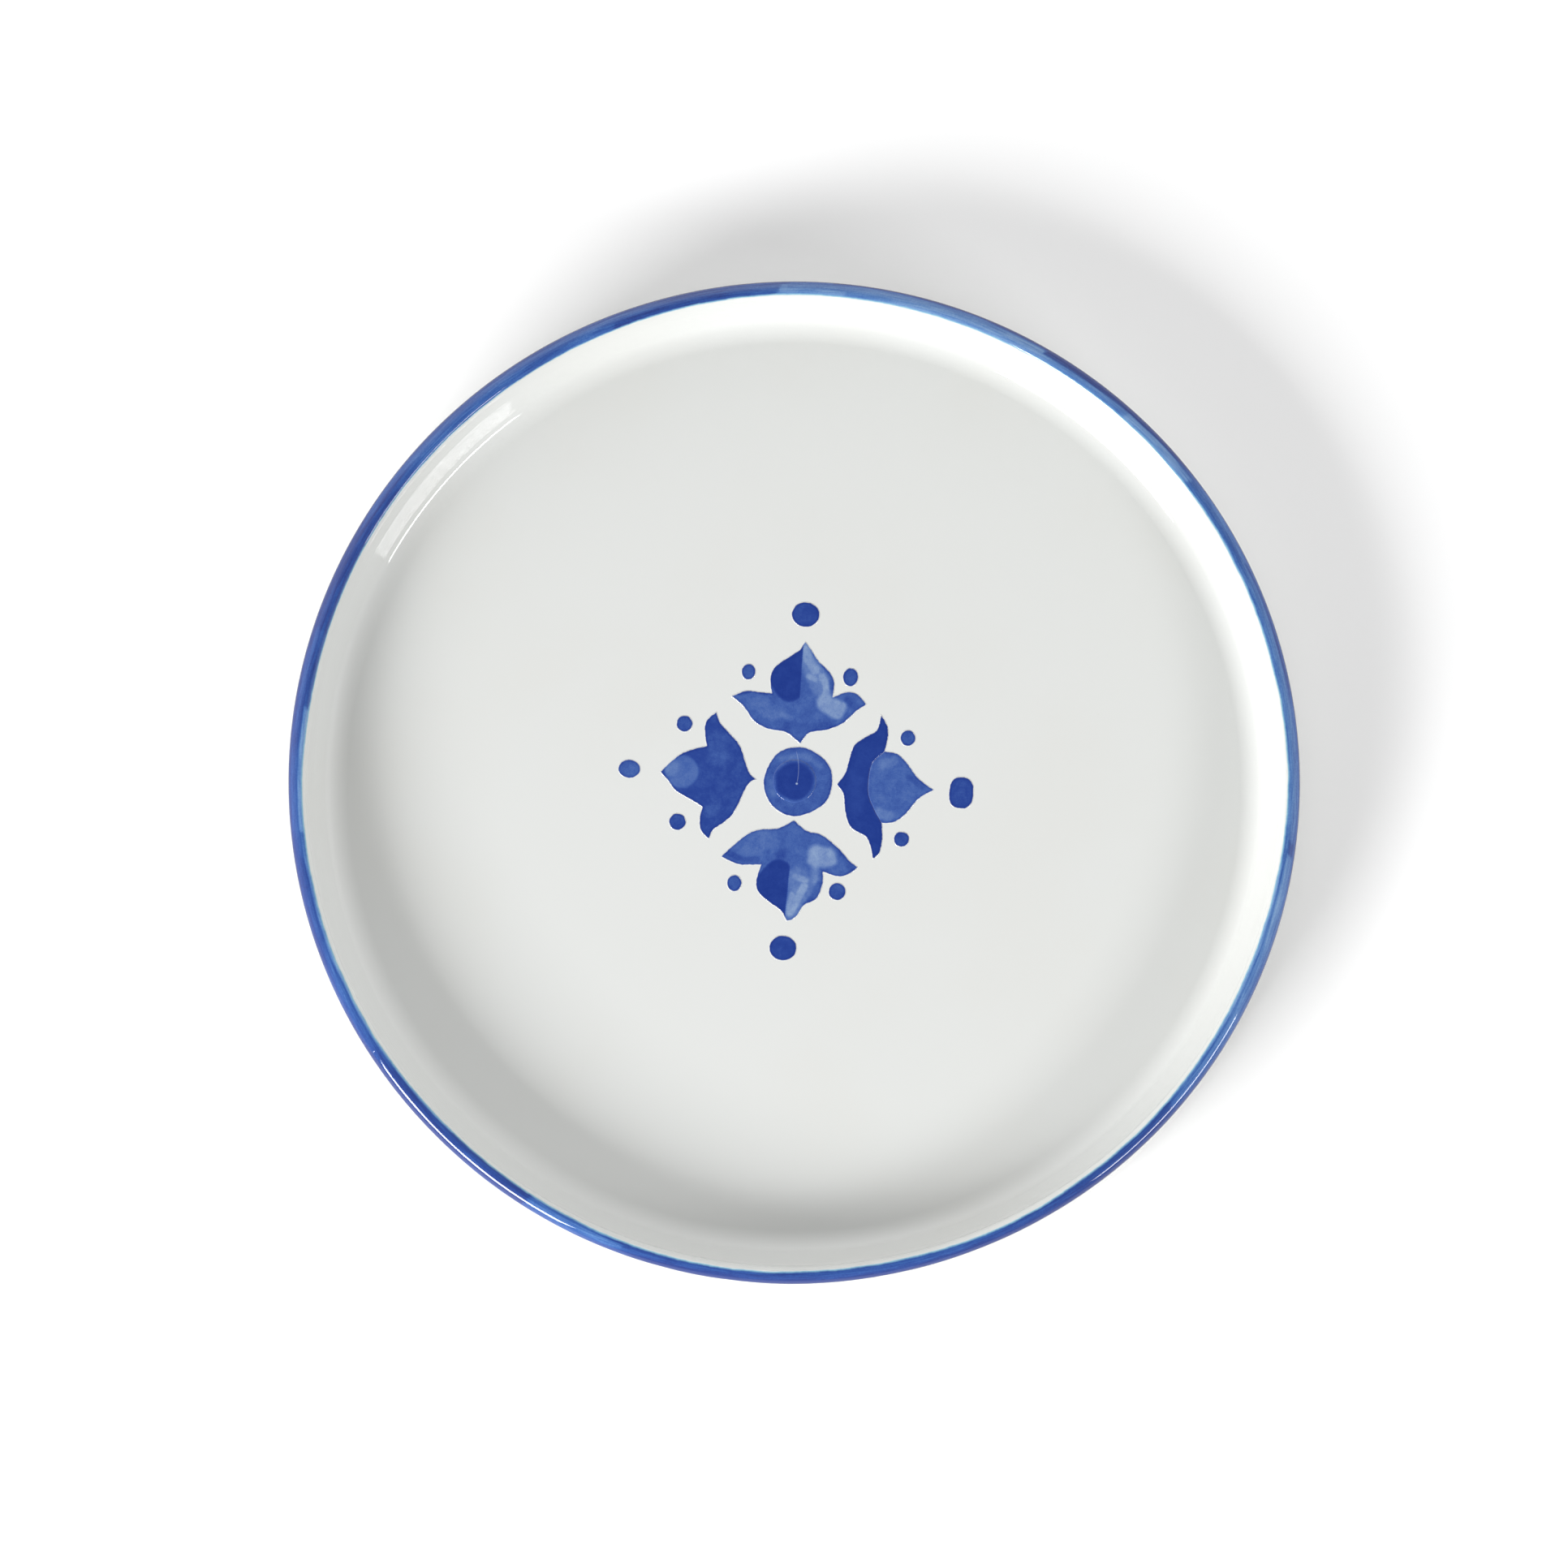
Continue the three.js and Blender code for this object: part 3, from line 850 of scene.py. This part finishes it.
class Graph:
    """The node tree of a material or a world, with short ways to add the nodes used here."""

    def __init__(self, owner, shader):
        owner.use_nodes = True
        self.owner = owner
        self.tree = owner.node_tree
        self.shader = self.tree.nodes[shader]

    def add(self, kind, inputs=(), **settings):
        node = self.tree.nodes.new(kind)
        for key, value in settings.items():
            setattr(node, key, value)
        for key, value in dict(inputs).items():
            self.feed(node.inputs[key], value)
        return node

    def feed(self, socket, value):
        if isinstance(value, bpy.types.NodeSocket):
            self.tree.links.new(value, socket)
        else:
            socket.default_value = value

    def math(self, operation, a, b=0.0, c=0.0):
        return self.add("ShaderNodeMath", {0: a, 1: b, 2: c}, operation=operation).outputs[0]

    def step(self, value, low, high):
        inputs = {0: value, 1: low, 2: high}
        node = self.add("ShaderNodeMapRange", inputs, interpolation_type="SMOOTHSTEP")
        return node.outputs[0]

    def mix(self, share, a, b):
        node = self.add("ShaderNodeMix", data_type="RGBA")
        self.feed(node.inputs["Factor"], share)
        self.feed(node.inputs[6], a)
        self.feed(node.inputs[7], b)
        return node.outputs[2]

    def attribute(self, name):
        return self.add("ShaderNodeAttribute", attribute_name=name).outputs["Fac"]

    def place(self):
        return self.add("ShaderNodeTexCoord").outputs["Object"]

    def noise(self, size_mm, detail=2.0, roughness=0.5, vector=None):
        """Noise of about 0 to 1 whose features are size_mm wide."""
        inputs = {"Scale": 1 / (size_mm * MM), "Detail": detail, "Roughness": roughness}
        inputs["Vector"] = vector or self.place()
        return self.add("ShaderNodeTexNoise", inputs).outputs["Fac"]

    def ramp(self, value, stops):
        node = self.add("ShaderNodeValToRGB", {"Fac": value})
        elements = node.color_ramp.elements
        while len(elements) < len(stops):
            elements.new(0.5)
        for element, (position, colour) in zip(elements, stops):
            element.position = position
            element.color = (*colour, 1)
        return node.outputs["Color"]

    def set(self, **sockets):
        for key, value in sockets.items():
            self.feed(self.shader.inputs[key.replace("_", " ")], value)


def material_graph(name):
    return Graph(bpy.data.materials.new(name), "Principled BSDF")


def colour(red, green, blue):
    return (red, green, blue, 1)


GLAZE_WHITE = colour(0.662, 0.672, 0.657)
GLAZE_WARM = colour(0.652, 0.657, 0.634)
# Painted shade: the near black that the outer turn of the lip darkens to
SHADED_EDGE_COLOUR = colour(0.060, 0.055, 0.095)
TEAL = colour(0.22, 0.44, 0.56)

# Colours of the paint by tone, in the motif and in the band
INK = [
    (0.0, (0.007, 0.030, 0.212)),
    (0.15, (0.016, 0.048, 0.255)),
    (0.35, (0.044, 0.100, 0.335)),
    (0.6, (0.098, 0.172, 0.400)),
    (1.0, (0.225, 0.318, 0.505)),
]
BAND_INK = [
    (0.0, (0.020, 0.042, 0.195)),
    (0.15, (0.024, 0.064, 0.258)),
    (0.35, (0.038, 0.106, 0.335)),
    (0.6, (0.095, 0.205, 0.450)),
    (1.0, (0.260, 0.400, 0.600)),
]


def glaze_colour(graph):
    """Opaque white, a little warmer in broad clouds, with sparse pale specks."""
    clouds = graph.step(graph.noise(45, 3), 0.42, 0.72)
    ground = graph.mix(graph.math("MULTIPLY", clouds, 0.5), GLAZE_WHITE, GLAZE_WARM)
    specks = graph.step(graph.noise(0.9, 1), 0.79, 0.86)
    return graph.mix(graph.math("MULTIPLY", specks, 0.25), ground, colour(0.60, 0.56, 0.47))


# Heights between which the wall has throwing ridges. They fade in and out inside them
RIDGES_FOOT = 10.5
RIDGES_TOP = 20
RIDGE_HEIGHT = 0.07


def glossy(graph, ridged=False):
    """The glass surface of the glaze: slow waves, orange peel, pinholes and, on the wall, ridges
    left by throwing."""
    waves = graph.math("MULTIPLY", graph.noise(16, 1), 0.012)
    peel = graph.math("MULTIPLY", graph.noise(1.6, 2), 0.0006)
    pits = graph.math("MULTIPLY", graph.step(graph.noise(1.1, 0), 0.80, 0.86), -0.006)
    height = graph.math("ADD", graph.math("ADD", waves, peel), pits)
    if ridged:
        level = graph.add("ShaderNodeSeparateXYZ", {0: graph.place()}).outputs["Z"]
        ring_place = graph.add("ShaderNodeCombineXYZ", {2: level}).outputs[0]
        above_foot = graph.step(level, RIDGES_FOOT * MM, (RIDGES_FOOT + 1) * MM)
        below_lip = graph.step(level, RIDGES_TOP * MM, (RIDGES_TOP - 3) * MM)
        on_wall = graph.math("MULTIPLY", above_foot, below_lip)
        ridges = graph.math("MULTIPLY", graph.noise(1.1, 1, 0.6, ring_place), on_wall)
        height = graph.math("MULTIPLY_ADD", ridges, RIDGE_HEIGHT, height)
    bump = graph.add("ShaderNodeBump", {"Height": height, "Distance": MM, "Strength": 1.0})
    roughness = graph.math("MULTIPLY_ADD", graph.noise(9, 3), 0.02, 0.01)
    graph.set(Roughness=roughness, Normal=bump.outputs["Normal"], IOR=1.5)


def glaze_material():
    graph = material_graph("white_glaze")
    graph.set(Base_Color=glaze_colour(graph))
    glossy(graph, ridged=True)
    return graph.owner


# The fine curved scratch down the medallion: the middle and radius of its arc, the middle of its
# length, half its length, and the bright chip at its lower end
SCRATCH_ARC = (-16.6, 2.5)
SCRATCH_RADIUS = 16.8
SCRATCH_MIDDLE = (0.1, 4.0)
SCRATCH_HALF = 4.6
CHIP = (-0.05, -0.5)
SCRATCH_COLOUR = colour(0.42, 0.52, 0.70)


def scratch(graph):
    """How much paler the scratch and its chip leave the paint, from 0 to 1."""
    def distance(centre):
        spot = turn(np.array(centre), MOTIF_TURN) + MOTIF_MIDDLE
        place = graph.add("ShaderNodeVectorMath", {0: graph.place()}, operation="MULTIPLY")
        place.inputs[1].default_value = (1 / MM, 1 / MM, 0)
        node = graph.add("ShaderNodeVectorMath", {0: place.outputs[0]}, operation="DISTANCE")
        node.inputs[1].default_value = (*spot, 0)
        return node.outputs["Value"]

    off = graph.math("ABSOLUTE", graph.math("SUBTRACT", distance(SCRATCH_ARC), SCRATCH_RADIUS))
    hair = graph.math("SUBTRACT", 1.0, graph.step(off, 0.04, 0.16))
    reach = graph.step(distance(SCRATCH_MIDDLE), SCRATCH_HALF, SCRATCH_HALF - 1)
    chip = graph.math("SUBTRACT", 1.0, graph.step(distance(CHIP), 0.1, 0.42))
    mark = graph.math("MULTIPLY", graph.math("MULTIPLY", hair, reach), 0.22)
    return graph.math("MAXIMUM", mark, graph.math("MULTIPLY", chip, 0.75))


def brushwork_tone(graph, tone):
    """A tone with the paint's own unevenness: overlapping washes, mottling and fine grain."""
    wash = graph.noise(3.6, 2, 0.5)
    lap = graph.math("ADD", graph.step(wash, 0.44, 0.47), graph.step(wash, 0.56, 0.585))
    looseness = graph.math("MULTIPLY_ADD", tone, 0.9, 0.35)
    uneven = graph.math("MULTIPLY", graph.math("SUBTRACT", lap, 1.0), 0.06)
    mottle = graph.math("SUBTRACT", graph.noise(1.3, 4, 0.65), 0.5)
    grain = graph.math("SUBTRACT", graph.noise(0.32, 2, 0.6), 0.5)
    uneven = graph.math("ADD", uneven, graph.math("MULTIPLY", mottle, 0.42))
    uneven = graph.math("ADD", uneven, graph.math("MULTIPLY", grain, 0.30))
    return graph.math("ADD", tone, graph.math("MULTIPLY", uneven, looseness))


def film_material():
    """Cobalt brushwork: washes of uneven strength, darker where the paint pools at its edge."""
    graph = material_graph("cobalt_brushwork")
    edge = graph.attribute("edge")
    wander = graph.math("MULTIPLY", graph.math("SUBTRACT", graph.noise(1.1, 3), 0.5), 0.40)
    cover = graph.step(graph.math("ADD", edge, wander), -0.16, 0.14)
    tone = brushwork_tone(graph, graph.attribute("tone"))
    dark_edge = graph.math("SUBTRACT", 1.0, graph.step(graph.math("ADD", edge, wander), 0.15, 0.75))
    tone = graph.math("SUBTRACT", tone, graph.math("MULTIPLY", dark_edge, 0.12))
    ink = graph.mix(scratch(graph), graph.ramp(tone, INK), SCRATCH_COLOUR)
    graph.set(Base_Color=graph.mix(cover, glaze_colour(graph), ink))
    glossy(graph)
    return graph.owner


def core_material():
    """The blot: its edge is soft, so that the medallion shows through it there."""
    graph = material_graph("cobalt_blot")
    edge = graph.attribute("edge")
    wander = graph.math("MULTIPLY", graph.math("SUBTRACT", graph.noise(2.5, 3), 0.5), 1.2)
    depth = graph.step(graph.math("ADD", edge, wander), -0.1, 1.2)
    tone = graph.math("MULTIPLY_ADD", depth, -0.27, 0.31)
    ink = graph.ramp(brushwork_tone(graph, tone), INK)
    graph.set(Base_Color=graph.mix(scratch(graph), ink, SCRATCH_COLOUR))
    glossy(graph)
    return graph.owner


def band_material():
    """The band: fine brush streaks run along it, and its inner edge bleeds to turquoise."""
    graph = material_graph("cobalt_band")
    place = graph.add("ShaderNodeSeparateXYZ", {0: graph.place()})
    along = graph.add("ShaderNodeCombineXYZ")
    graph.feed(along.inputs[0], graph.math("MULTIPLY", place.outputs[0], 0.06))
    graph.feed(along.inputs[1], graph.math("MULTIPLY", place.outputs[1], 0.06))
    graph.feed(along.inputs[2], graph.math("MULTIPLY", graph.attribute("run"), MM))
    along = along.outputs[0]
    streaks = graph.math("SUBTRACT", graph.noise(0.42, 3, 0.6, along), 0.5)
    broad = graph.math("SUBTRACT", graph.noise(1.4, 1, 0.5, along), 0.5)
    grain = graph.math("SUBTRACT", graph.noise(0.5, 3, 0.65), 0.5)
    thicker = graph.math("MULTIPLY", graph.step(graph.attribute("run"), 1.0, 3.6), -0.24)
    tone = graph.math("ADD", graph.attribute("tone"), thicker)
    tone = graph.math("MULTIPLY_ADD", streaks, 0.62, tone)
    tone = graph.math("MULTIPLY_ADD", broad, 0.30, tone)
    tone = graph.math("MULTIPLY_ADD", grain, 0.30, tone)
    ink = graph.ramp(tone, BAND_INK)
    ragged = graph.math("SUBTRACT", graph.noise(2.5, 4, 0.6), 0.5)
    inside = graph.math("MULTIPLY_ADD", ragged, 0.55, graph.attribute("fringe"))
    ink = graph.mix(graph.step(inside, -0.05, 0.6), TEAL, ink)
    # Painted shade: the outer turn of the lip darkens towards a near black, least on the key light's
    # side
    ink = graph.mix(graph.attribute("dark_edge"), ink, SHADED_EDGE_COLOUR)
    ragged_edge = graph.math("MULTIPLY_ADD", ragged, 0.35, graph.attribute("edge"))
    cover = graph.step(ragged_edge, -0.30, 0.16)
    graph.set(Base_Color=graph.mix(cover, glaze_colour(graph), ink))
    glossy(graph)
    return graph.owner


def clay_material():
    """Fired buff clay: dry, gritty and a little toasted in places."""
    graph = material_graph("fired_clay")
    clouds = graph.step(graph.noise(18, 4), 0.35, 0.7)
    ground = graph.mix(clouds, colour(0.56, 0.45, 0.32), colour(0.64, 0.54, 0.41))
    grit = graph.step(graph.noise(0.6, 2), 0.62, 0.72)
    ground = graph.mix(graph.math("MULTIPLY", grit, 0.5), ground, colour(0.36, 0.27, 0.19))
    graph.set(Base_Color=ground, Roughness=0.88, IOR=1.45)
    lumps = graph.math("MULTIPLY", graph.noise(3, 2), 2.0)
    height = graph.math("ADD", graph.noise(0.5, 4, 0.7), lumps)
    bump = graph.add("ShaderNodeBump", {"Height": height, "Distance": 0.05 * MM, "Strength": 1.0})
    graph.set(Normal=bump.outputs["Normal"])
    return graph.owner


def stage_material():
    graph = material_graph("pale_stage")
    graph.set(Base_Color=colour(0.955, 0.955, 0.955), Roughness=0.6, Specular_IOR_Level=0.2)
    return graph.owner


# ---------------------------------------------------------------- stage, lights and camera


STAGE_HALF = 6.0  # half the width of the pale floor, in metres


def make_stage():
    mesh = bpy.data.meshes.new("floor")
    square = [(-1, -1, 0), (1, -1, 0), (1, 1, 0), (-1, 1, 0)]
    mesh.from_pydata([Vector(corner) * STAGE_HALF for corner in square], [], [(0, 1, 2, 3)])
    floor = bpy.data.objects.new("floor", mesh)
    floor.data.materials.append(stage_material())
    bpy.context.scene.collection.objects.link(floor)


LIGHT_DISTANCE = 3.0  # in metres

# The softboxes: azimuth and elevation, width and height as seen from the plate, in degrees, and
# watts. The key casts the shadows in the well and on the floor, and the strip is a weaker light
# from the other side
SOFTBOXES = {
    "key": (225, 23, 28, 18, 112),
    "strip": (324, 25, 24, 10, 32),
}


def direction(azimuth, elevation):
    a, e = math.radians(azimuth), math.radians(elevation)
    return Vector((math.cos(a) * math.cos(e), math.sin(a) * math.cos(e), math.sin(e)))


def make_softbox(name, azimuth, elevation, width, height, watts):
    """An area light that faces the plate. Azimuth is where it stands, from +X."""
    data = bpy.data.lights.new(name, "AREA")
    data.shape = "RECTANGLE"
    data.size = 2 * LIGHT_DISTANCE * math.tan(math.radians(width / 2))
    data.size_y = 2 * LIGHT_DISTANCE * math.tan(math.radians(height / 2))
    data.energy = watts
    light = bpy.data.objects.new(name, data)
    towards = direction(azimuth, elevation)
    light.location = towards * LIGHT_DISTANCE
    light.rotation_mode = "QUATERNION"
    light.rotation_quaternion = towards.to_track_quat("Z", "Y")
    light.visible_camera = False
    bpy.context.scene.collection.objects.link(light)


# The pale room round the stage: directions that it is brightest in, as azimuth, elevation, how
# narrow the bright part is, and its radiance
ROOM_GLOWS = [
    (165, 10, 4, 1.33), (0, 10, 4, 1.36), (100, 12, 5, 1.31), (100, 30, 3, 0.46), (270, 15, 5, 0.41),
    (50, 30, 4, 0.17),
]
ROOM_RADIANCE = 0.095


def make_room():
    graph = Graph(bpy.data.worlds.new("room"), "Background")
    looking = graph.add("ShaderNodeTexCoord").outputs["Generated"]
    total = ROOM_RADIANCE
    for azimuth, elevation, narrow, radiance in ROOM_GLOWS:
        inputs = {0: looking, 1: direction(azimuth, elevation)}
        towards = graph.add("ShaderNodeVectorMath", inputs, operation="DOT_PRODUCT")
        facing = graph.math("MAXIMUM", towards.outputs["Value"], 0.0)
        total = graph.math("MULTIPLY_ADD", graph.math("POWER", facing, narrow), radiance, total)
    graph.set(Color=colour(1, 1, 1), Strength=total)
    bpy.context.scene.world = graph.owner


def make_lights():
    for name, settings in SOFTBOXES.items():
        make_softbox(name, *settings)
    make_room()


CAMERA_TILT = math.radians(6.2)  # from straight above, leaning towards -Y
CAMERA_DISTANCE = 4.5  # in metres
PLATE_SHARE = 0.64467  # of the frame's width
AIM_SHIFT = (-2.7, -1.1)  # of the frame's middle from the plate's, in millimetres


def make_camera():
    data = bpy.data.cameras.new("camera")
    frame_width = 2 * OUTER_RADIUS * MM / PLATE_SHARE
    data.lens = data.sensor_width * CAMERA_DISTANCE / frame_width
    camera = bpy.data.objects.new("camera", data)
    aim = Vector((AIM_SHIFT[0] * MM, AIM_SHIFT[1] * MM, HEIGHT * MM))
    back = Vector((0, -math.sin(CAMERA_TILT), math.cos(CAMERA_TILT)))
    camera.location = aim + back * CAMERA_DISTANCE
    camera.rotation_euler = (CAMERA_TILT, 0, 0)
    bpy.context.scene.collection.objects.link(camera)
    bpy.context.scene.camera = camera


# ---------------------------------------------------------------- the scene

glaze = glaze_material()
make_body().data.materials.append(clay_material())
make_coat().data.materials.append(glaze)
make_base_coat().data.materials.append(glaze)
make_band().data.materials.append(band_material())
brushwork = film_material()
for film in make_films():
    film.data.materials.append(brushwork)
make_core().data.materials.append(core_material())

make_stage()
make_lights()
make_camera()
bpy.context.scene.view_settings.view_transform = "Standard"
